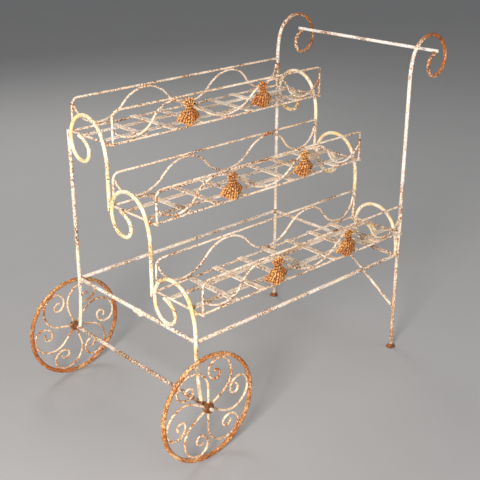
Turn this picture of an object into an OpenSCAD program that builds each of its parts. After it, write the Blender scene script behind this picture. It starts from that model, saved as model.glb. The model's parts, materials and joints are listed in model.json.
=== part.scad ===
// Three-tier wrought-iron plant trolley: two scroll-spoked wheels on a fixed axle at one end,
// two footed legs that run up into a crook handle at the other, and three stepped trays.
// Origin: centre of the footprint, on the ground. +X runs from the wheels to the handle,
// +Y from the low front tray to the high back tray, +Z up.

/* [Frame] */
// Distance between the end scrolls of the left end and those of the right end
frame_length = 756; // [600:1:900]
// Step from one tray to the next, front to back
tier_step = 163; // [140:1:190]
// Height of the bottom tray
bottom_tray_height = 380.5; // [350:0.5:420]
// Height of the middle tray
middle_tray_height = 560; // [520:1:590]
// Height of the top tray
top_tray_height = 719; // [690:1:760]
// Diameter of the upright and base rods
rod_d = 10; // [8:0.5:12]
// How far each wheel-end leg splays outward at the axle
leg_splay = 16; // [10:1:24]
// Diameter of the two leg braces
brace_d = 8; // [6:0.5:10]
// Height at which the braces meet the handle-end legs
brace_foot_height = 132; // [100:1:160]

/* [Handle] */
// Height at which the handle posts start to bend into their crooks
post_straight_height = 812; // [780:1:860]
// Diameter of the grip bar between the two crooks
grip_d = 9; // [8:0.5:12]
// Diameter of each foot where it meets the ground
foot_d = 26; // [20:1:34]
// Height of each foot
foot_height = 10; // [8:1:16]

/* [Wheels] */
// Outer radius of each wheel
wheel_r = 144; // [130:1:160]
// Diameter of the rim rod
rim_d = 11; // [9:0.5:13]
// Outer diameter of the hub
hub_d = 24; // [20:1:30]
// Length of the hub along the axle
hub_length = 15; // [12:1:24]
// Distance of each wheel's middle plane outside the frame
wheel_offset = 42; // [36:1:60]
// Diameter of the axle
axle_d = 10.5; // [8:0.5:11]
// Radial clearance between the axle and the hub bore
hub_clearance = 0.08; // [0.04:0.01:0.1]
// Number of scroll spokes in each wheel
spoke_count = 6; // [6:1:6]

/* [Trays] */
// Diameter of the tray wires and of the spokes
wire_d = 6; // [5:0.5:7]
// Height of the wire guard rails, between the middles of their top and bottom wires
rail_height = 83; // [70:1:95]
// Corner radius at the top left of a guard rail
rail_top_left_r = 20; // [14:1:26]
// Corner radius at the top right of a guard rail
rail_top_right_r = 9; // [6:1:20]
// Corner radius at the bottom of a guard rail
rail_foot_r = 8; // [6:1:10]
// How far the front rail stands in front of the upright
front_rail_offset = 18; // [14:1:24]
// How far the back rail stands in front of the next tier
back_rail_offset = 8; // [5:1:12]
// Width of the flat cross bars
cross_bar_w = 18; // [14:1:24]
// Width of the flat long bars
long_bar_w = 16; // [12:1:22]
// Thickness of the flat lattice bars
bar_t = 2.5; // [2:0.5:4]
// Number of cross bars under each tray
cross_bar_count = 7; // [5:2:9]
// Distance from one cross bar to the next
cross_bar_pitch = 89; // [80:1:92]
// Distance from one casting of a tray to the other
casting_spacing = 262; // [220:1:280]
// How far the pair of castings stands left of the tray's middle
casting_shift = 7; // [0:1:15]
// Width of each casting
casting_w = 76; // [60:1:84]
// Height of each casting
casting_h = 76; // [70:1:82]

/* [Hidden] */
$fn = 32;
tray_heights = [bottom_tray_height, middle_tray_height, top_tray_height];
tray_names = ["bottom", "middle", "top"];
frame_depth = 3 * tier_step;
contact_gap = 0.2;        // stops faces of neighbouring pieces from interfering
run_gap = 0.5;            // side play of each wheel on the axle
joint_gap = 0.15;         // trimmed off each stretch of a bent rod where it meets the next
joint_length = 1.6;       // short sleeve that bridges the two
joint_swell = 0.24;       // how much wider the sleeve is than the rod

// Bends are [radius, angle] pairs, met one after the other along a rod.
scroll_bends = [[173, 26], [75, 86], [69, 97], [43, 79], [29, 123], [70, 28]];
crook_bends = [[260, 12], [75, 158], [47, 90], [31, 177]];
spoke_bends = [[55, 102], [40, 52], [27, 159], [12, 232]];
spoke_straight = 41;      // first run of a spoke, out from the hub
first_spoke = [29, 12];   // direction of that run in the first spoke of the front and the back wheel
scroll_drop = 60;         // a scroll starts to bend this far below its tray

function left(bends) = [for (b = bends) [b[0], b[1]]];
function right(bends) = [for (b = bends) [b[0], -b[1]]];
function scaled(bends, k) = [for (b = bends) [k * b[0], b[1]]];

// The first bends of a list, up to a total turn
function first_turn(bends, turn, i = 0) = i == len(bends) || turn <= 0 ? []
    : concat([[bends[i][0], min(bends[i][1], turn)]], first_turn(bends, turn - bends[i][1], i + 1));

// A path is a list of steps: [0, length] runs straight, [radius, angle] bends, left when positive.
function step_move(s, h) = s[0] == 0 ? s[1] * [cos(h), sin(h)]
    : sign(s[1]) * s[0] * [sin(h + s[1]) - sin(h), cos(h) - cos(h + s[1])];
function step_turn(s) = s[0] == 0 ? 0 : s[1];
function path_end(steps, h, i = 0) = i == len(steps) ? [0, 0]
    : step_move(steps[i], h) + path_end(steps, h + step_turn(steps[i]), i + 1);

// End scrolls: sized so that the arch just meets the next upright, one rod away
scroll_size = (tier_step - rod_d) / path_end(right(first_turn(scroll_bends, 180)), 90)[0];
scroll_steps = right(scaled(scroll_bends, scroll_size));
scroll_start = -scroll_drop * scroll_size;
scroll_low = scroll_start + path_end(right(scaled(first_turn(scroll_bends, 270), scroll_size)), 90)[1];
scroll_side = scroll_start + path_end(right(scaled(first_turn(scroll_bends, 180), scroll_size)), 90)[1];

// Base: the bottom scroll's loop rests on the left base bar
base_height = bottom_tray_height + scroll_low - rod_d;

// Handle crooks
crook_reach = path_end(right(first_turn(crook_bends, 180)), 90)[0] + rod_d / 2;
crook_end = path_end(right(crook_bends), 90);

// Wheels: the spoke is sized to touch the inside of the rim
rim_r = wheel_r - rim_d / 2;
spoke_room = rim_r - rim_d / 2 - wire_d / 2;
function spoke_steps(k) = concat([[0, k * spoke_straight]], left(scaled(spoke_bends, k)));
function spoke_far(k) = max([for (t = [60 : 1 : 240])
    norm([hub_d / 2 + k * spoke_straight, 0] + path_end(left(scaled(first_turn(spoke_bends, t), k)), 0))]);
spoke_size = (spoke_room - hub_d / 2) / (spoke_far(1) - hub_d / 2);
spoke_fit = spoke_size * spoke_room / spoke_far(spoke_size);
axle_height = wheel_r;
bore_d = axle_d + 2 * hub_clearance;
collar_w = 8;
collar_d = 18;
washer_t = 2;
washer_d = 20;
pin_d = 2.5;
pin_length = 22;
axle_stub = 6;
hub_in = wheel_offset - hub_length / 2 - run_gap;
hub_out = wheel_offset + hub_length / 2 + run_gap;
axle_overhang = hub_out + washer_t + axle_stub;

// Places along X and Y
left_x = (wheel_r - frame_length - rod_d - crook_reach) / 2;
right_x = left_x + frame_length;
front_post_x = right_x + rod_d;
mid_x = (left_x + right_x) / 2;
front_y = -frame_depth / 2;
back_y = frame_depth / 2;
function tier_y(i) = front_y + i * tier_step;

// Legs at the wheel end: one long bend from the axle up to the base
leg_height = base_height - rod_d - axle_height - axle_d / 2;
leg_bend_r = (pow(leg_height, 2) + pow(leg_splay, 2)) / (2 * leg_splay);
leg_bend_angle = 2 * atan(leg_splay / leg_height);
leg_steps = [[leg_bend_r, leg_bend_angle]];

// Trays
end_bar_inset = (rod_d + wire_d) / 2;
rail_z = bar_t;           // bottom wire of a rail above the tray's end bars
rail_inset = end_bar_inset - rail_foot_r
    + sqrt(pow(rail_foot_r + wire_d, 2) - pow(rail_foot_r + rail_z, 2));
rail_length = frame_length - 2 * rail_inset;
floor_top = wire_d / 2 + 2 * bar_t;
wave_low = floor_top + (wire_d + joint_swell) / 2;
wave_rise = rail_z + rail_height - wire_d - joint_swell / 2 - wave_low;
// Waves: from the left post of the rail to each low and crest in turn, as shares of the rail's length
front_wave_turns = [0.083, 0.256, 0.503, 0.747, 0.899];
back_wave_turns = [0.110, 0.320, 0.517, 0.735, 0.905];
front_wave_ends = [22, 35];    // heights of its two ends above its lows
back_wave_ends = [57, 57];
long_bar_y = [24, 97];         // places of the two long bars behind the upright
casting_depth = 24;
leaf_t = 5;
// Half outlines of a casting's fruit and leaves, as shares of its depth or width, and of its height
fruit_outline = [[0, 0.06], [0.5, 0.09], [0.9, 0.20], [1, 0.34], [0.85, 0.52], [0.45, 0.68], [0.35, 0.75],
    [0, 0.77]];
leaf_outline = [[0.22, 0], [0.38, 0.09], [0.5, 0.25], [0.4, 0.38], [0.32, 0.54], [0.2, 0.68], [0.26, 0.82],
    [0.12, 0.90], [0.06, 1]];

// Colours
paint = "OldLace";
cream = "Wheat";
rust = "Peru";
dark_rust = "SaddleBrown";

// One bend of a rod: starts at the origin heading along +X, in the XY plane, trimmed at either end
module bend(d, r, a, trim_start, trim_end) {
    skip_start = trim_start / r * 180 / PI;
    skip_end = trim_end / r * 180 / PI;
    translate([0, sign(a) * r, 0])
        rotate([0, 0, a > 0 ? -90 + skip_start : 90 + a + skip_end])
            rotate_extrude(angle = abs(a) - skip_start - skip_end) translate([r, 0]) circle(d = d);
}

// A straight run of a rod, along +X
module run(d, length, trim_start, trim_end)
    translate([trim_start, 0, 0]) rotate([0, 90, 0]) cylinder(d = d, h = length - trim_start - trim_end);

// A rod that follows a path, starting at the origin heading along +X. Where one stretch ends and
// the next begins, a short sleeve a hair thicker than the rod holds both.
module rod_path(d, steps, i = 0) {
    trim_start = i == 0 ? 0 : joint_gap;
    trim_end = i == len(steps) - 1 ? 0 : joint_gap;
    if (steps[i][0] == 0)
        run(d, steps[i][1], trim_start, trim_end);
    else
        bend(d, steps[i][0], steps[i][1], trim_start, trim_end);
    if (i < len(steps) - 1)
        translate(step_move(steps[i], 0)) rotate([0, 0, step_turn(steps[i])]) {
            rotate([0, 90, 0]) cylinder(d = d + joint_swell, h = joint_length, center = true);
            rod_path(d, steps, i + 1);
        }
}

// Stand a flat path up in an end plane (its X becomes Y) or in a rail plane (its X stays X)
module in_end_plane(x, y, z) translate([x, y, z]) rotate([90, 0, 90]) children();
module in_rail_plane(x, y, z) translate([x, y, z]) rotate([90, 0, 0]) children();

// A straight rod between two points
module strut(d, a, b) {
    v = b - a;
    translate(a) rotate([0, acos(v[2] / norm(v)), atan2(v[1], v[0])]) cylinder(d = d, h = norm(v));
}

// Upright and scroll of one tier: its rod starts at height foot_z, splayed or straight
module end_scroll(tier, x, foot_z, splayed = false) {
    start_z = tray_heights[tier] + scroll_start;
    splay = splayed ? leg_splay : 0;
    lead = splayed ? leg_steps : [];
    straight = start_z - foot_z - (splayed ? leg_height : 0);
    in_end_plane(x, tier_y(tier) - splay, foot_z)
        rotate([0, 0, 90 - (splayed ? leg_bend_angle : 0)])
            rod_path(rod_d, concat(lead, [[0, straight]], scroll_steps));
}

module left_scroll(tier) {
    foot_z = tier == 0 ? axle_height + axle_d / 2 : tray_heights[tier - 1] + scroll_side;
    color(paint) end_scroll(tier, left_x, foot_z, tier == 0);
}

module right_scroll(tier) {
    foot_z = tier == 0 ? base_height - rod_d / 2 : tray_heights[tier - 1] + scroll_side;
    color(tier == 0 ? rust : paint) end_scroll(tier, right_x, foot_z);
}

module back_left_post() {
    foot_z = axle_height + axle_d / 2;
    straight = top_tray_height + rod_d / 2 - foot_z - leg_height;
    color(paint) in_end_plane(left_x, back_y + leg_splay, foot_z)
        rotate([0, 0, 90 + leg_bend_angle]) rod_path(rod_d, concat(right(leg_steps), [[0, straight]]));
}

module handle_post(x, y)
    color(paint) in_rail_plane(x, y, foot_height) rotate([0, 0, 90])
        rod_path(rod_d, concat([[0, post_straight_height - foot_height]], right(crook_bends)));

// The grip runs from one crook's tip to the other's, and passes just beyond each of them
module grip_bar() {
    tip_z = post_straight_height + crook_end[1] + (rod_d + grip_d) / 2;
    color(paint) strut(grip_d, [front_post_x + crook_end[0], front_y - rod_d, tip_z],
        [right_x + crook_end[0], back_y + rod_d, tip_z]);
}

// Base bars run between the faces of the uprights
module base_bar_along_x(y)
    color(paint) translate([left_x + rod_d / 2, y, base_height]) rotate([0, 90, 0])
        cylinder(d = rod_d, h = frame_length - rod_d);

module base_bar_along_y(x)
    color(paint) translate([x, front_y + rod_d / 2, base_height]) rotate([-90, 0, 0])
        cylinder(d = rod_d, h = frame_depth - rod_d);

// A brace from the middle of the right base bar down to one of the handle posts
module brace(post_x, post_y) {
    side = sign(post_y);
    top = [right_x, side * brace_d / 2, base_height];
    foot = [post_x, post_y, brace_foot_height];
    color(paint) difference() {
        strut(brace_d, top, foot);
        translate([right_x, front_y, base_height]) rotate([-90, 0, 0]) cylinder(d = rod_d, h = frame_depth);
        translate([post_x, post_y, 0]) cylinder(d = rod_d, h = base_height);
        translate([right_x - rod_d, side > 0 ? -rod_d : 0, base_height - 2 * rod_d])
            cube([2 * rod_d, rod_d, 3 * rod_d]);
    }
}

// Flared foot under a handle post
module foot(x, y)
    color(dark_rust) translate([x, y, 0]) rotate_extrude()
        polygon([[0, 0], [foot_d / 2 - 1, 0], [foot_d / 2, 1], [foot_d / 2, 3],
            [rod_d / 2 + 1.5, foot_height], [0, foot_height]]);

// Axle and what keeps the wheels on it
module axle()
    color("Silver") difference() {
        translate([left_x, front_y - axle_overhang, axle_height]) rotate([-90, 0, 0])
            cylinder(d = axle_d, h = frame_depth + 2 * axle_overhang);
        for (side = [-1, 1]) translate([left_x, pin_y(side), axle_height])
            cylinder(d = pin_d + 2 * hub_clearance, h = 2 * axle_d, center = true);
    }

function pin_y(side) = side * (back_y + hub_out + washer_t + contact_gap + pin_d);

module ring_on_axle(y, outer, inner, w)
    translate([left_x, y, axle_height]) rotate([90, 0, 0]) difference() {
        cylinder(d = outer, h = w, center = true);
        cylinder(d = inner, h = 2 * w, center = true);
    }

module stop_collars()
    color(dark_rust) for (side = [-1, 1])
        ring_on_axle(side * (back_y + hub_in - collar_w / 2), collar_d, axle_d, collar_w);

module axle_washers()
    color(dark_rust) for (side = [-1, 1])
        ring_on_axle(side * (back_y + hub_out + washer_t / 2), washer_d, bore_d, washer_t);

module split_pins()
    color(dark_rust) for (side = [-1, 1]) translate([left_x, pin_y(side), axle_height]) {
        cylinder(d = pin_d, h = pin_length, center = true);
        translate([0, 0, pin_length / 2]) sphere(d = 2 * pin_d);
    }

// Wheels: side is -1 for the front wheel and 1 for the back wheel, which is the same wheel turned round
module on_wheel(side) translate([left_x, side * (back_y + wheel_offset), axle_height])
    rotate([0, 0, side > 0 ? 180 : 0]) rotate([90, 0, 0]) children();

module wheel_rim(side)
    color(rust) on_wheel(side) rotate_extrude() translate([rim_r, 0]) circle(d = rim_d);

module wheel_hub(side)
    color(dark_rust) on_wheel(side) difference() {
        cylinder(d = hub_d, h = hub_length, center = true);
        cylinder(d = bore_d, h = 2 * hub_length, center = true);
    }

module wheel_spoke(side, i)
    color(cream) on_wheel(side) rotate([0, 0, first_spoke[side > 0 ? 1 : 0] + i * 360 / spoke_count])
        translate([hub_d / 2, 0, 0]) rod_path(wire_d, spoke_steps(spoke_fit));

// Trays
module end_bars(tier)
    color(cream) for (x = [left_x + end_bar_inset, right_x - end_bar_inset])
        translate([x, tier_y(tier) - front_rail_offset - wire_d / 2, tray_heights[tier]])
            rotate([-90, 0, 0]) cylinder(d = wire_d, h = tier_step + front_rail_offset + wire_d / 2);

module long_bars(tier) {
    length = frame_length - rod_d - 2 * contact_gap;
    color(cream) for (y = long_bar_y)
        translate([mid_x - length / 2, tier_y(tier) + y - long_bar_w / 2, tray_heights[tier] + wire_d / 2])
            cube([length, long_bar_w, bar_t]);
}

module cross_bars(tier) {
    first_x = mid_x - (cross_bar_count - 1) / 2 * cross_bar_pitch - cross_bar_w / 2;
    first_y = front_rail_y(tier) - wire_d / 2;
    last_y = back_rail_y(tier) + wire_d / 2;
    color(cream) for (i = [0 : cross_bar_count - 1])
        translate([first_x + i * cross_bar_pitch, first_y, tray_heights[tier] + rail_z + wire_d / 2])
            cube([cross_bar_w, last_y - first_y, bar_t]);
}

// Guard rail: a wire bent into a closed frame with rounded corners
module rail(tier, y) {
    side_run = rail_height - rail_foot_r;
    color(cream) in_rail_plane(left_x + rail_inset + rail_foot_r, y, tray_heights[tier] + rail_z)
        rod_path(wire_d, [
            [0, rail_length - 2 * rail_foot_r], [rail_foot_r, 90],
            [0, side_run - rail_top_right_r], [rail_top_right_r, 90],
            [0, rail_length - rail_top_left_r - rail_top_right_r], [rail_top_left_r, 90],
            [0, side_run - rail_top_left_r], [rail_foot_r, 90]]);
}

function front_rail_y(tier) = tier_y(tier) - front_rail_offset;
function back_rail_y(tier) = tier_y(tier + 1) - back_rail_offset;

// Two equal bends that rise (way 1) or fall (way -1) over a length between a low and a crest
function wave_span(length, way) =
    let (r = (pow(length, 2) + pow(wave_rise, 2)) / (4 * wave_rise), a = 2 * atan(wave_rise / length))
        [[r, way * a], [r, -way * a]];

// The one bend between a low and the wave's end, which rests against the rail's post
function wave_end(length, rise) =
    let (a = 2 * atan(rise / (length - 0.9 * wire_d)), reach = length - wire_d / 2 * (1 + sin(a)))
        [(pow(reach, 2) + pow(rise, 2)) / (2 * rise), 2 * atan(rise / reach)];

// Wave wire inside a rail: down from one post, over two crests and up to the other post
module wave(tier, y, turns, ends) {
    spans = [for (i = [1 : 4]) rail_length * (turns[i] - turns[i - 1])];
    first = wave_end(rail_length * turns[0], ends[0]);
    last = wave_end(rail_length * (1 - turns[4]), ends[1]);
    start = path_end([first], -first[1]);
    in_rail_plane(left_x + rail_inset + rail_length * turns[0] - start[0], y,
        tray_heights[tier] + wave_low - start[1]) rotate([0, 0, -first[1]])
            rod_path(wire_d, concat([first], wave_span(spans[0], 1), wave_span(spans[1], -1),
                wave_span(spans[2], 1), wave_span(spans[3], -1), [last]));
}

module waves(tier)
    color(cream) {
        wave(tier, front_rail_y(tier), front_wave_turns, front_wave_ends);
        wave(tier, back_rail_y(tier), back_wave_turns, back_wave_ends);
    }

// Casting: a fruit cluster between leaves, flat at the back where it meets the rail
module casting(x, y, z) {
    right_half = [for (p = leaf_outline) [p[0] * casting_w, p[1] * casting_h]];
    left_half = [for (i = [len(leaf_outline) - 1 : -1 : 0]) [-right_half[i][0], right_half[i][1]]];
    translate([x, y, z]) {
        rotate([0, 0, 180]) rotate_extrude(angle = 180)
            polygon([for (p = fruit_outline) [p[0] * casting_depth, p[1] * casting_h]]);
        rotate([90, 0, 0]) linear_extrude(leaf_t)
            polygon(concat([[0, 0.04 * casting_h]], right_half, left_half));
    }
}

module castings(tier)
    color(rust) for (side = [-1, 1])
        casting(mid_x - casting_shift + side * casting_spacing / 2,
            front_rail_y(tier) - wire_d / 2 - contact_gap,
            tray_heights[tier] + rail_z + rail_height - casting_h);

axle();
stop_collars();
axle_washers();
split_pins();
wheel_rim(-1);  // front_wheel_rim
wheel_hub(-1);  // front_wheel_hub
wheel_rim(1);  // back_wheel_rim
wheel_hub(1);  // back_wheel_hub
for (i = [1 : spoke_count]) {
    wheel_spoke(-1, i - 1);
    wheel_spoke(1, i - 1);
}
for (tier = [0 : 2]) {
    tray = tray_names[tier];
    left_scroll(tier);
    right_scroll(tier);
    end_bars(tier);
    long_bars(tier);
    cross_bars(tier);
    rail(tier, front_rail_y(tier));
    rail(tier, back_rail_y(tier));
    waves(tier);
    castings(tier);
}
back_left_post();
handle_post(front_post_x, front_y);  // front_handle_post
handle_post(right_x, back_y);  // back_handle_post
grip_bar();
base_bar_along_x(front_y);  // base_front_bar
base_bar_along_x(back_y);  // base_back_bar
base_bar_along_y(left_x);  // base_left_bar
base_bar_along_y(right_x);  // base_right_bar
brace(front_post_x, front_y);  // front_brace
brace(right_x, back_y);  // back_brace
foot(front_post_x, front_y);  // front_foot
foot(right_x, back_y);  // back_foot
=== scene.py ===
import json
import math
import random

import bmesh
import bpy
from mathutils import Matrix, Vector, noise


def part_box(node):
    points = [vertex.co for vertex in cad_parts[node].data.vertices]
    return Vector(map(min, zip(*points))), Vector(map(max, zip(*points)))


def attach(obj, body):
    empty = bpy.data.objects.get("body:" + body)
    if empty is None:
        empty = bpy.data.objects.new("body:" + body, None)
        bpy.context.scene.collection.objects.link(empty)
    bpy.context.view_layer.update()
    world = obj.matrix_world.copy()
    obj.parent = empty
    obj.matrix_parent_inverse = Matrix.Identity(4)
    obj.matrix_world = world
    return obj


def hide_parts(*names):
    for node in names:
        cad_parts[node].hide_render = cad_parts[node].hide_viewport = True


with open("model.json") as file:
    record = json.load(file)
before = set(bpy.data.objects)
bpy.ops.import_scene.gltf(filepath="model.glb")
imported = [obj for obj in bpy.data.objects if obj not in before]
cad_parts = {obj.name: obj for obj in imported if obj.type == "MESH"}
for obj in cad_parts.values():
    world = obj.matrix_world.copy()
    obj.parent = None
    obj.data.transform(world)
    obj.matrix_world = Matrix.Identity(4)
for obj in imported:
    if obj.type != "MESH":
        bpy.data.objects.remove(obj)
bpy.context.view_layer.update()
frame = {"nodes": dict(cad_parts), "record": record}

NODES = frame["nodes"]
TRAYS = ("bottom", "middle", "top")
ROD_R = 0.005
WIRE_R = 0.003
CROSS_BARS = 7
CROSS_BAR_W = 0.018
LONG_BAR_W = 0.016
SPOKES = 6
# Low and crest places of the wave wires, as shares of the rail's length, and the heights of their ends
WAVE_TURNS = {"front": (0.083, 0.256, 0.503, 0.747, 0.899), "back": (0.110, 0.320, 0.517, 0.735, 0.905)}
WAVE_ENDS = {"front": (0.033, 0.046), "back": (0.068, 0.068)}
RNG = random.Random(7)
noise.seed_set(7)


# ---------------------------------------------------------------- places, from the CAD

def middle(node):
    low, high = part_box(node)
    return (low + high) / 2


LEFT_X = middle("left_top_scroll").x
RIGHT_X = middle("right_top_scroll").x
MIDDLE_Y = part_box("left_middle_scroll")[0].y + ROD_R
TOP_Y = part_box("left_top_scroll")[0].y + ROD_R
TIER_STEP = TOP_Y - MIDDLE_Y
# The fronts of the three tiers, and the back of the top one
TIER_Y = [MIDDLE_Y + (i - 1) * TIER_STEP for i in range(4)]
TRAY_Z = [middle(f"{t}_tray_end_bars").z for t in TRAYS]
BASE_Z = middle("base_left_bar").z
AXLE = middle("axle")
WHEEL_R = (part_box("front_wheel_rim")[1].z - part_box("front_wheel_rim")[0].z) / 2
FRONT_POST_X = middle("front_foot").x
BACK_POST_X = middle("back_foot").x


# ---------------------------------------------------------------- materials

class Graph:
    """Short names for building a material's nodes."""

    def __init__(self, name):
        self.material = bpy.data.materials.new(name)
        self.material.use_nodes = True
        self.tree = self.material.node_tree
        self.shader = self.tree.nodes["Principled BSDF"]
        self.place = self.tree.nodes.new("ShaderNodeTexCoord").outputs["Object"]

    def set(self, socket, value):
        if isinstance(value, bpy.types.NodeSocket):
            self.tree.links.new(value, socket)
        elif hasattr(value, "__len__") and len(value) == 3 and socket.type == "RGBA":
            socket.default_value = (*value, 1)
        else:
            socket.default_value = value

    def noise(self, scale, detail=4, rough=0.6, shift=(0, 0, 0)):
        mapping = self.tree.nodes.new("ShaderNodeMapping")
        self.set(mapping.inputs["Vector"], self.place)
        mapping.inputs["Location"].default_value = shift
        node = self.tree.nodes.new("ShaderNodeTexNoise")
        self.set(node.inputs["Vector"], mapping.outputs["Vector"])
        for key, value in (("Scale", scale), ("Detail", detail), ("Roughness", rough)):
            node.inputs[key].default_value = value
        return node.outputs["Fac"]

    def math(self, operation, a, b):
        node = self.tree.nodes.new("ShaderNodeMath")
        node.operation = operation
        self.set(node.inputs[0], a)
        self.set(node.inputs[1], b)
        return node.outputs[0]

    def ramp(self, value, low, high, out_low=0.0, out_high=1.0):
        node = self.tree.nodes.new("ShaderNodeMapRange")
        node.interpolation_type = "SMOOTHSTEP"
        for i, v in enumerate((value, low, high, out_low, out_high)):
            self.set(node.inputs[i], v)
        return node.outputs[0]

    def mix(self, factor, a, b):
        node = self.tree.nodes.new("ShaderNodeMix")
        node.data_type = "RGBA"
        self.set(node.inputs[0], factor)
        self.set(node.inputs[6], a)
        self.set(node.inputs[7], b)
        return node.outputs[2]

    def ridge(self):
        """0 in crevices, 1 on ridges."""
        return self.ramp(self.tree.nodes.new("ShaderNodeNewGeometry").outputs["Pointiness"], 0.44, 0.56)

    def axis(self, name):
        node = self.tree.nodes.new("ShaderNodeSeparateXYZ")
        self.set(node.inputs[0], self.place)
        return node.outputs[name]


# Scale, detail and roughness of the noise behind each kind of mark
PATCHES = (14, 3, 0.55)
CHIPS = (210, 5, 0.65)
SPECKS = (680, 3, 0.6)
YELLOWING = (22, 4, 0.6)
GRIME = (160, 4, 0.7)
RUST_GRAIN = (330, 5, 0.7)
RUST_GLOW = (42, 4, 0.6)

GRIME_BROWN = (0.36, 0.25, 0.15)
RUST_STAIN = (0.62, 0.38, 0.17)
# Dark rust brown that the castings' crevices are darkened to: painted shade together with dark rust
CREVICE_SHADE_AND_RUST = (0.10, 0.024, 0.006)
DARK_RUST = (0.075, 0.028, 0.011)
MID_RUST = (0.24, 0.078, 0.020)
ORANGE_RUST = (0.60, 0.15, 0.015)


def wear_map(g, chips, specks, shift, zones, relief):
    """How worn the paint is: large patches, chips and specks, and more of it in the zones."""
    patches = g.noise(*PATCHES, shift=shift)
    wear = g.math("ADD", g.math("MULTIPLY", patches, 0.22), g.math("MULTIPLY", chips, 0.48))
    wear = g.math("ADD", wear, g.math("MULTIPLY", specks, 0.30))
    for axis, start, end, extra in zones:
        wear = g.math("ADD", wear, g.ramp(g.axis(axis), start, end, 0.0, extra))
    if relief:
        # With relief, the ridges rust less so their paint stays bright: a painted highlight on the ridges
        wear = g.math("SUBTRACT", wear, g.math("MULTIPLY", g.ridge(), 0.05))
    return wear


def old_paint(g, paint, aged, grime, halo, zones):
    """Paint that has yellowed in patches, dirty, and stained around the chips."""
    aging = g.ramp(g.noise(*YELLOWING, shift=(3, 1, 2)), 0.40, 0.66)
    for axis, start, end, _ in zones:
        aging = g.math("MAXIMUM", aging, g.ramp(g.axis(axis), start, end, 0.0, 0.8))
    coat = g.mix(aging, paint, aged)
    coat = g.mix(g.math("MULTIPLY", grime, 0.28), coat, GRIME_BROWN)
    return g.mix(g.math("MULTIPLY", halo, 0.62), coat, RUST_STAIN)


def bare_rust(g, rust_glow):
    """Grainy brown rust with orange places."""
    grain = g.ramp(g.noise(*RUST_GRAIN, shift=(7, 2, 9)), 0.34, 0.68)
    glow_start = 0.62 - 0.30 * rust_glow
    glow = g.ramp(g.noise(*RUST_GLOW, shift=(1, 8, 3)), glow_start, glow_start + 0.18)
    rust = g.mix(grain, DARK_RUST, MID_RUST)
    return g.mix(g.math("MULTIPLY", glow, grain), rust, ORANGE_RUST)


def pitted_surface(g, rusted, grime, chips, specks):
    """Roughness, and a bump that sinks where the paint has gone."""
    rough_paint = g.ramp(grime, 0, 1, 0.42, 0.66)
    g.set(g.shader.inputs["Roughness"], g.math("MAXIMUM", rough_paint, g.math("MULTIPLY", rusted, 0.9)))
    g.shader.inputs["Specular IOR Level"].default_value = 0.4
    height = g.math("SUBTRACT", g.math("MULTIPLY", specks, 0.55), g.math("MULTIPLY", rusted, 0.75))
    height = g.math("ADD", height, g.math("MULTIPLY", chips, 0.5))
    bump = g.tree.nodes.new("ShaderNodeBump")
    bump.inputs["Strength"].default_value = 0.75
    bump.inputs["Distance"].default_value = 0.0009
    g.set(bump.inputs["Height"], height)
    g.set(g.shader.inputs["Normal"], bump.outputs["Normal"])


def chipped_iron(name, bare, paint, aged, rust_glow, shift, zones=(), relief=False):
    """Old paint on iron: bare is the share of rust showing, aged the colour the paint yellows to.
    Each zone (axis, from, to, extra) adds bare rust from one place towards another.
    With relief, the crevices are darkened as painted shade over dark rust, and the paint is left on the
    ridges as a painted highlight."""
    g = Graph(name)
    pattern_shift = (shift, 2 * shift, -shift)
    chips = g.noise(*CHIPS, shift=pattern_shift)
    specks = g.noise(*SPECKS, shift=pattern_shift)
    grime = g.ramp(g.noise(*GRIME, shift=(5, 4, 1)), 0.38, 0.70)
    wear = wear_map(g, chips, specks, pattern_shift, zones, relief)
    edge = 0.60 - 0.20 * bare
    rusted = g.ramp(wear, edge - 0.010, edge + 0.010)
    halo = g.ramp(wear, edge - 0.085, edge + 0.005)
    colour = g.mix(rusted, old_paint(g, paint, aged, grime, halo, zones), bare_rust(g, rust_glow))
    if relief:
        # Painted shade: the crevices, found by pointiness, are darkened towards a dark rust brown
        colour = g.mix(g.ramp(g.ridge(), 0.26, 0.80), CREVICE_SHADE_AND_RUST, colour)
    g.set(g.shader.inputs["Base Color"], colour)
    pitted_surface(g, rusted, grime, chips, specks)
    return g.material


WHITE = (0.88, 0.81, 0.745)
CREAM = (0.87, 0.73, 0.52)
PINK_CREAM = (0.84, 0.64, 0.45)
YELLOW = (0.88, 0.62, 0.25)
OCHRE = (0.80, 0.40, 0.10)

# Each finish: share of bare rust, paint, the colour it ages to, glow of the rust, and shift of its pattern
FINISHES = {
    "frame_paint": (0.30, WHITE, CREAM, 0.5, 0.0),
    "scroll_paint": (0.20, (0.89, 0.80, 0.62), YELLOW, 0.6, 1.7),
    "handle_paint": (0.22, WHITE, CREAM, 0.9, 2.9),
    "tray_paint": (0.32, (0.89, 0.79, 0.65), PINK_CREAM, 0.6, 4.1),
    "wheel_paint": (0.62, (0.84, 0.56, 0.30), OCHRE, 1.0, 5.3),
    "spoke_paint": (0.38, (0.88, 0.70, 0.48), PINK_CREAM, 1.0, 6.6),
    "axle_steel": (0.46, (0.74, 0.68, 0.60), (0.62, 0.52, 0.40), 0.3, 7.4),
    "hub_iron": (0.80, (0.30, 0.20, 0.13), (0.14, 0.08, 0.05), 0.0, 8.8),
    "foot_iron": (0.90, (0.46, 0.31, 0.17), MID_RUST, 0.4, 9.2),
    "casting_iron": (0.60, (0.92, 0.45, 0.10), (0.74, 0.14, 0.008), 1.6, 10.5),
    "weld_iron": (0.60, (0.78, 0.56, 0.34), PINK_CREAM, 0.8, 11.1),
    "grip_paint": (0.22, (0.90, 0.86, 0.80), WHITE, 0.4, 12.3),
    "lattice_paint": (0.30, (0.95, 0.84, 0.70), (0.88, 0.70, 0.52), 0.6, 13.7),
}
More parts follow.
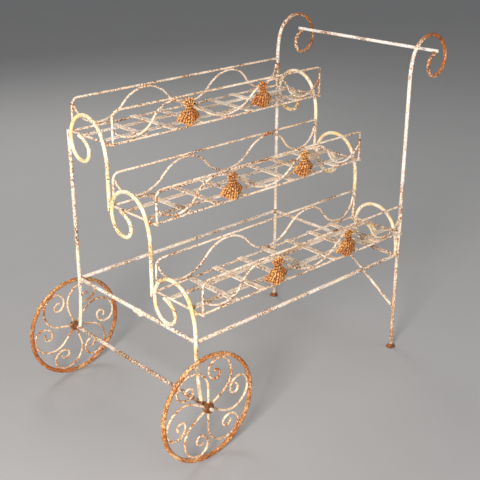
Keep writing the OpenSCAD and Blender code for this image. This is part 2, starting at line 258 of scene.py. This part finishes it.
# The handle is rustier on top of its crooks, towards their free ends, and down its legs
RUSTY_ZONES = {"handle_paint": (("Z", 0.86, 0.93, 0.05), ("X", 0.39, 0.50, 0.08), ("Z", 0.40, 0.10, 0.045))}
RELIEF = ("casting_iron",)

MATERIALS = {name: chipped_iron(name, *finish, RUSTY_ZONES.get(name, ()), name in RELIEF)
             for name, finish in FINISHES.items()}


def finish_of(node_name, slot_name):
    if node_name == "grip_bar":
        return MATERIALS["grip_paint"]
    if node_name.endswith(("long_bars", "cross_bars")):
        return MATERIALS["lattice_paint"]
    return MATERIALS[slot_name]


slots = {s["node"]: s["material_slot"] for s in frame["record"]["subparts"]}
for node_name, node_object in NODES.items():
    material = finish_of(node_name, slots[node_name])
    if not node_object.material_slots:
        node_object.data.materials.append(material)
    for material_slot in node_object.material_slots:
        material_slot.material = material


# ---------------------------------------------------------------- mesh helpers

def add_object(name, vertices, faces, material, body, slot_name):
    mesh = bpy.data.meshes.new(name)
    mesh.from_pydata(vertices, [], faces)
    mesh.update()
    piece = bpy.data.objects.new(name, mesh)
    bpy.context.scene.collection.objects.link(piece)
    mesh.materials.append(material)
    mesh.polygons.foreach_set("use_smooth", [True] * len(mesh.polygons))
    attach(piece, body)
    return piece


def ball(subdivisions):
    bm = bmesh.new()
    bmesh.ops.create_icosphere(bm, subdivisions=subdivisions, radius=1)
    vertices = [v.co.copy() for v in bm.verts]
    faces = [[v.index for v in f.verts] for f in bm.faces]
    bm.free()
    return vertices, faces


BALL = ball(3)


def add_blob(shape, centre, size, rough):
    """A ball scaled to size (half extents) and roughened by noise."""
    vertices, faces = shape
    start = len(vertices)
    shift = Vector([RNG.uniform(-50, 50) for _ in range(3)])
    for v in BALL[0]:
        grow = 1 + rough * noise.noise(v * 1.6 + shift) + 0.4 * rough * noise.noise(v * 4.2 + shift)
        vertices.append(Vector(centre) + Vector((v.x * size[0], v.y * size[1], v.z * size[2])) * grow)
    faces.extend([[start + i for i in f] for f in BALL[1]])


def add_tube(shape, points, radii, sides=10):
    """A closed round tube along points, with a radius at each."""
    vertices, faces = shape
    points = [Vector(p) for p in points]
    side = None
    start = len(vertices)
    for i, p in enumerate(points):
        along = (points[min(i + 1, len(points) - 1)] - points[max(i - 1, 0)]).normalized()
        if side is None:
            side = along.orthogonal().normalized()
        side = (side - along * side.dot(along)).normalized()
        up = along.cross(side)
        for k in range(sides):
            a = 2 * math.pi * k / sides
            vertices.append(p + (side * math.cos(a) + up * math.sin(a)) * radii[i])
    for i in range(len(points) - 1):
        for k in range(sides):
            a, b = start + i * sides + k, start + i * sides + (k + 1) % sides
            faces.append([a, b, b + sides, a + sides])
    faces.append([start + k for k in reversed(range(sides))])
    faces.append([start + (len(points) - 1) * sides + k for k in range(sides)])


# ---------------------------------------------------------------- weld beads

# Half extents of each kind of bead
BEAD = {
    "base_corner": (0.0068, 0.0068, 0.0062),
    "base_bar": (0.0062, 0.0062, 0.0050),
    "brace_foot": (0.0055, 0.0050, 0.0070),
    "brace_head": (0.0062, 0.0110, 0.0052),
    "end_bar": (0.0045, 0.0052, 0.0045),
    "scroll_foot": (0.0042, 0.0040, 0.0100),
    "front_post": (0.0042, 0.0052, 0.0085),
    "back_post": (0.0050, 0.0042, 0.0070),
    "grip_end": (0.0060, 0.0056, 0.0045),
    "cross_bar_end": (0.0036, 0.0026, 0.0022),
    "bar_crossing": (0.0022, 0.0040, 0.0019),
    "wave_crest": (0.0090, 0.0032, 0.0024),
    "wave_low": (0.0060, 0.0032, 0.0026),
    "wave_end": (0.0026, 0.0032, 0.0052),
    "spoke_tip": (0.0050, 0.0036, 0.0050),
    "spoke_root": (0.0046, 0.0042, 0.0046),
}


def beads(name, places, body):
    """One object with a weld bead at each (point, half extents)."""
    shape = ([], [])
    for point, size in places:
        add_blob(shape, point, size, rough=0.55)
    return add_object(name, *shape, MATERIALS["weld_iron"], body, "frame_paint")


def base_beads():
    """Beads at the corners of the base, beside the axle, and on both ends of the braces."""
    places = []
    for x in (LEFT_X, RIGHT_X):
        for y in (TIER_Y[0], TIER_Y[3]):
            inward = Vector((ROD_R if x == LEFT_X else -ROD_R, ROD_R if y < 0 else -ROD_R, 0)) * 0.7
            places.append((Vector((x, y, BASE_Z)) + inward, BEAD["base_corner"]))
    for y in (TIER_Y[0], TIER_Y[3]):
        places.append(((LEFT_X, y + math.copysign(0.016, y), AXLE.z + 0.004), BEAD["base_bar"]))
    for node, x in (("front_brace", FRONT_POST_X), ("back_brace", BACK_POST_X)):
        low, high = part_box(node)
        outer = TIER_Y[0] if node.startswith("front") else TIER_Y[3]
        places.append(((x, outer - math.copysign(ROD_R, outer), low.z + 0.008), BEAD["brace_foot"]))
    places.append(((RIGHT_X, 0, BASE_Z - ROD_R), BEAD["brace_head"]))
    return places


def upright_beads():
    """Beads where the trays, the scrolls, the base and the grip bar meet the uprights."""
    places = []
    for i in range(len(TRAYS)):
        for x in (LEFT_X, RIGHT_X):
            toward = ROD_R if x == LEFT_X else -ROD_R
            for y in (TIER_Y[i], TIER_Y[i + 1]):
                places.append(((x + toward, y - 0.001, TRAY_Z[i]), BEAD["end_bar"]))
            places.append(((x, TIER_Y[i + 1] - ROD_R, TRAY_Z[i] - 0.0112), BEAD["scroll_foot"]))
    for z in (BASE_Z, TRAY_Z[0] - 0.03):
        places.append(((FRONT_POST_X - ROD_R, TIER_Y[0], z), BEAD["front_post"]))
    for z in (TRAY_Z[2] - 0.02, TRAY_Z[2] + 0.06):
        places.append(((BACK_POST_X, TIER_Y[3] - ROD_R, z), BEAD["back_post"]))
    low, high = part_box("grip_bar")
    z = middle("grip_bar").z - 0.004
    places.append(((high.x - ROD_R, TIER_Y[0], z), BEAD["grip_end"]))
    places.append(((low.x + ROD_R, TIER_Y[3], z), BEAD["grip_end"]))
    return places


def lattice_beads(tray):
    """Beads where a tray's cross bars meet the rails and, most times, the long bars."""
    low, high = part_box(f"{tray}_tray_cross_bars")
    front = middle(f"{tray}_tray_front_rail").y
    back = middle(f"{tray}_tray_back_rail").y
    long_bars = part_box(f"{tray}_tray_long_bars")
    pitch = (high.x - low.x - CROSS_BAR_W) / (CROSS_BARS - 1)
    places = []
    for k in range(CROSS_BARS):
        x = low.x + CROSS_BAR_W / 2 + k * pitch
        for y in (front + WIRE_R, back - WIRE_R):
            side = RNG.choice((-1, 1))
            places.append(((x + side * 0.007, y, low.z + 0.0006), BEAD["cross_bar_end"]))
        for y in (long_bars[0].y + LONG_BAR_W / 2, long_bars[1].y - LONG_BAR_W / 2):
            for side in (-1, 1):
                if RNG.random() < 0.75:
                    point = (x + side * CROSS_BAR_W / 2, y + RNG.uniform(-0.004, 0.004), low.z - 0.0002)
                    places.append((point, BEAD["bar_crossing"]))
    return places


def wave_beads(tray, tray_z):
    """Beads where a tray's waves touch the rails' wires and end on their posts."""
    low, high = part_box(f"{tray}_tray_front_rail")
    post_x = (low.x + WIRE_R, high.x - WIRE_R)
    places = []
    for row in ("front", "back"):
        y = middle(f"{tray}_tray_{row}_rail").y
        turns = [post_x[0] + t * (post_x[1] - post_x[0]) for t in WAVE_TURNS[row]]
        for x in turns[1::2]:
            places.append(((x, y, high.z - 2 * WIRE_R), BEAD["wave_crest"]))
        for x in turns[0::2]:
            places.append(((x, y, tray_z + 0.0068), BEAD["wave_low"]))
        for x, inward, z in zip(post_x, (1, -1), WAVE_ENDS[row]):
            places.append(((x + inward * WIRE_R, y, tray_z + z), BEAD["wave_end"]))
    return places


def wheel_beads(wheel, side, spoke_angle):
    """Beads where each spoke meets the rim and the hub."""
    centre = Vector((AXLE.x, middle(f"{wheel}_rim").y, AXLE.z))
    places = []
    for k in range(SPOKES):
        a = math.radians(spoke_angle + 360 / SPOKES * k)
        hub_a = a - math.radians(38)
        out = Vector((side * math.cos(a), 0, math.sin(a)))
        hub_out = Vector((side * math.cos(hub_a), 0, math.sin(hub_a)))
        places.append((centre + out * (WHEEL_R - 0.0118), BEAD["spoke_tip"]))
        places.append((centre + hub_out * 0.0135, BEAD["spoke_root"]))
    return places


def base_repair():
    """An old lump of repair on the left base bar."""
    shape = ([], [])
    add_blob(shape, (LEFT_X - 0.002, -0.020, BASE_Z + 0.0005), (0.0072, 0.0170, 0.0068), rough=0.45)
    add_blob(shape, (LEFT_X - 0.004, -0.031, BASE_Z - 0.0045), (0.0038, 0.0085, 0.0060), rough=0.60)
    add_object("base_repair", *shape, MATERIALS["frame_paint"], "frame", "frame_paint")


beads("base_welds", base_beads(), "frame")
base_repair()
beads("upright_welds", upright_beads(), "frame")
for i, tray in enumerate(TRAYS):
    beads(f"{tray}_tray_welds", lattice_beads(tray) + wave_beads(tray, TRAY_Z[i]), "frame")
for body, side, spoke_angle in (("front_wheel", 1, 67), ("back_wheel", -1, 50)):
    beads(f"{body}_welds", wheel_beads(body, side, spoke_angle), body)


# ---------------------------------------------------------------- castings

CASTING_W = 0.076
CASTING_GAP = 0.0005
WAIST = Vector((0, -0.010, 0.054))
# Layers of strands, back to front: how many, half spread, height of the middle ends, and how far out they are
STRANDS = ((9, 0.034, 0.006, 0.005), (8, 0.029, 0.003, 0.011), (5, 0.018, 0.005, 0.017))
STRAND_STEPS = 12
# Fans of leaves: how many, length, how far out they are, and half angle in degrees
LEAVES = ((5, 0.029, 0.003, 58), (4, 0.020, 0.008, 50))
LEAF_RADII = (0.0026, 0.0034, 0.0041, 0.0044, 0.0041, 0.0032, 0.0016)
COLLAR_KNOBS = 7


def add_strands(shape):
    """Ribbed strands that fan down from the waist to small knobs."""
    for count, spread, foot, out in STRANDS:
        for k in range(count):
            u = 2 * k / (count - 1) - 1
            end = Vector((u * spread, -out * (1 - 0.35 * u * u), foot + 0.017 * u * u))
            bulge = Vector((u * spread * 0.80, -(out + 0.008) * (1 - 0.35 * u * u), 0.038))
            points, radii = [], []
            for j in range(STRAND_STEPS + 1):
                t = j / STRAND_STEPS
                points.append(WAIST * (1 - t) ** 2 + bulge * 2 * t * (1 - t) + end * t * t)
                knobbly = 1 + 0.20 * math.sin(2.3 * j + 1.9 * k)
                radii.append((0.0015 + 0.0024 * math.sin(math.pi * (0.12 + 0.70 * t))) * knobbly)
            add_tube(shape, points, radii)
            add_blob(shape, end, (0.0031, 0.0030, 0.0033), rough=0.3)


def add_collar(shape):
    """Small knobs around the front of the waist."""
    for k in range(COLLAR_KNOBS):
        a = math.pi * (k / (COLLAR_KNOBS - 1) - 0.5)
        knob = WAIST + Vector((0.0105 * math.sin(a), -0.006 * math.cos(a), 0))
        add_blob(shape, knob, (0.0032, 0.0032, 0.0027), rough=0.3)


def add_rosette(shape):
    """Veined leaves that fan up from the waist."""
    for count, reach, out, fan in LEAVES:
        for k in range(count):
            a = math.radians(-fan + 2 * fan * k / (count - 1))
            tip = WAIST + Vector((reach * 0.74 * math.sin(a), 0.004 - out, reach * math.cos(a) ** 0.6))
            points = [WAIST.lerp(tip, t / (len(LEAF_RADII) - 1)) for t in range(len(LEAF_RADII))]
            add_tube(shape, points, LEAF_RADII)
            vein = [p + Vector((0, -0.0040, 0)) for p in points[1:6]]
            add_tube(shape, vein, [0.0010] * len(vein))


def add_side_leaves(shape):
    for u in (-1, 1):
        add_tube(shape, [(u * 0.012, -0.003, 0.046), (u * 0.024, -0.006, 0.037), (u * 0.033, -0.004, 0.026),
                         (u * 0.036, -0.002, 0.016)], [0.0030, 0.0044, 0.0046, 0.0024])


def cast_in_one(shape):
    """The parts of shape joined into one skin, with a rough cast surface."""
    mesh = bpy.data.meshes.new("casting")
    mesh.from_pydata(shape[0], [], shape[1])
    temp = bpy.data.objects.new("casting_form", mesh)
    bpy.context.scene.collection.objects.link(temp)
    remesh = temp.modifiers.new("remesh", "REMESH")
    remesh.mode = "VOXEL"
    remesh.voxel_size = 0.0008
    smooth = temp.modifiers.new("smooth", "SMOOTH")
    smooth.factor, smooth.iterations = 0.5, 1
    evaluated = temp.evaluated_get(bpy.context.evaluated_depsgraph_get())
    result = bpy.data.meshes.new_from_object(evaluated)
    bpy.data.objects.remove(temp)
    vertices = [v.co.copy() for v in result.vertices]
    faces = [list(p.vertices) for p in result.polygons]
    for v in vertices:
        v += 0.0011 * noise.noise_vector(v * 210)
    return vertices, faces


def casting_mesh():
    """A cast sheaf of strands, tied at the waist, with a rosette of leaves above it."""
    shape = ([], [])
    add_strands(shape)
    add_collar(shape)
    add_rosette(shape)
    add_side_leaves(shape)
    add_blob(shape, (0, -0.002, 0.028), (0.022, 0.005, 0.024), rough=0.1)
    return cast_in_one(shape)


def castings(tray, vertices, faces):
    """Both castings of a tray, fitted into the box of the CAD ones."""
    lowest = [min(v[i] for v in vertices) for i in range(3)]
    highest = [max(v[i] for v in vertices) for i in range(3)]
    middle_x = (highest[0] + lowest[0]) / 2
    low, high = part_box(f"{tray}_tray_castings")
    fit = (CASTING_W / (highest[0] - lowest[0]), (high.y - low.y) / (highest[1] - lowest[1]),
           (high.z - low.z - 2 * CASTING_GAP) / (highest[2] - lowest[2]))
    shape = ([], [])
    for x in (low.x + CASTING_W / 2, high.x - CASTING_W / 2):
        start = len(shape[0])
        for v in vertices:
            shape[0].append((x + (v.x - middle_x) * fit[0], high.y + (v.y - highest[1]) * fit[1],
                             low.z + CASTING_GAP + (v.z - lowest[2]) * fit[2]))
        shape[1].extend([[start + i for i in f] for f in faces])
    return shape


sheaf = casting_mesh()
for tray in TRAYS:
    shape = castings(tray, *sheaf)
    piece = add_object(f"{tray}_castings", *shape, MATERIALS["casting_iron"], "frame", "casting_iron")
    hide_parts(f"{tray}_tray_castings")


# ---------------------------------------------------------------- split pins

PIN_WIRE_R = 0.0006
PIN_LOOP_R = 0.0018
# From the outer side of the CAD pins to their middle
PIN_INSET = 0.0025


def split_pins():
    """Two bent wires through the axle's ends, each with a loop on top and its legs spread below."""
    shape = ([], [])
    low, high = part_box("split_pins")
    for y in (low.y + PIN_INSET, high.y - PIN_INSET):
        top = AXLE.z + 0.0112
        for leg in (-1, 1):
            points = [(AXLE.x + leg * 0.00005, y, top + 0.0008)]
            points += [(AXLE.x + leg * 0.0006, y, AXLE.z + z) for z in (0.0095, 0.005, 0, -0.005, -0.0080)]
            points += [(AXLE.x + leg * x, y, AXLE.z + z) for x, z in ((0.0022, -0.0096), (0.0024, -0.0102))]
            add_tube(shape, points, [PIN_WIRE_R] * len(points))
        loop = [(AXLE.x + PIN_LOOP_R * math.cos(a), y, top + 0.0014 + PIN_LOOP_R * math.sin(a))
                for a in [math.radians(-80 + 20 * k) for k in range(18)]]
        add_tube(shape, loop, [PIN_WIRE_R] * len(loop))
    return shape


pins = add_object("bent_split_pins", *split_pins(), MATERIALS["hub_iron"], "frame", "hub_iron")
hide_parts("split_pins")


# ---------------------------------------------------------------- floor, light and camera

FLOOR_HALF = 8


def pale_floor():
    mesh = bpy.data.meshes.new("floor")
    corners = [(x * FLOOR_HALF, y * FLOOR_HALF, 0) for x, y in ((-1, -1), (1, -1), (1, 1), (-1, 1))]
    mesh.from_pydata(corners, [], [[0, 1, 2, 3]])
    g = Graph("floor_pale")
    g.set(g.shader.inputs["Base Color"], g.mix(g.noise(3, 4), (0.33, 0.326, 0.322), (0.35, 0.346, 0.342)))
    g.shader.inputs["Roughness"].default_value = 0.85
    mesh.materials.append(g.material)
    return bpy.data.objects.new("floor", mesh)


floor = pale_floor()
bpy.context.scene.collection.objects.link(floor)

bpy.context.scene.view_settings.view_transform = "Standard"

world = bpy.data.worlds.new("studio")
bpy.context.scene.world = world
world.use_nodes = True
background = world.node_tree.nodes["Background"]
background.inputs[0].default_value = (0.90, 0.92, 0.95, 1)
background.inputs[1].default_value = 0.36


def area_light(name, place, target, size, power, colour):
    light = bpy.data.lights.new(name, "AREA")
    light.energy, light.size, light.color = power, size, colour
    lamp = bpy.data.objects.new(name, light)
    lamp.location = place
    lamp.rotation_euler = (Vector(target) - Vector(place)).to_track_quat("-Z", "Y").to_euler()
    bpy.context.scene.collection.objects.link(lamp)


area_light("key", (-2.9, -1.7, 1.5), (0, 0, 0.45), 0.8, 178, (1.0, 0.945, 0.92))
area_light("fill", (1.6, -3.0, 1.5), (0, 0, 0.45), 1.6, 32, (0.92, 0.95, 1.0))
area_light("rim", (0.8, 2.8, 2.6), (0, 0, 0.5), 1.6, 52, (1.0, 0.98, 0.95))

camera_data = bpy.data.cameras.new("camera")
camera_data.sensor_width = 36
camera_data.lens = 68.24
camera = bpy.data.objects.new("camera", camera_data)
camera.location = (-1.6054, -1.7011, 1.3632)
camera.rotation_euler = (math.radians(90 - 22.77), math.radians(-0.02), math.radians(-42.99))
bpy.context.scene.collection.objects.link(camera)
bpy.context.scene.camera = camera
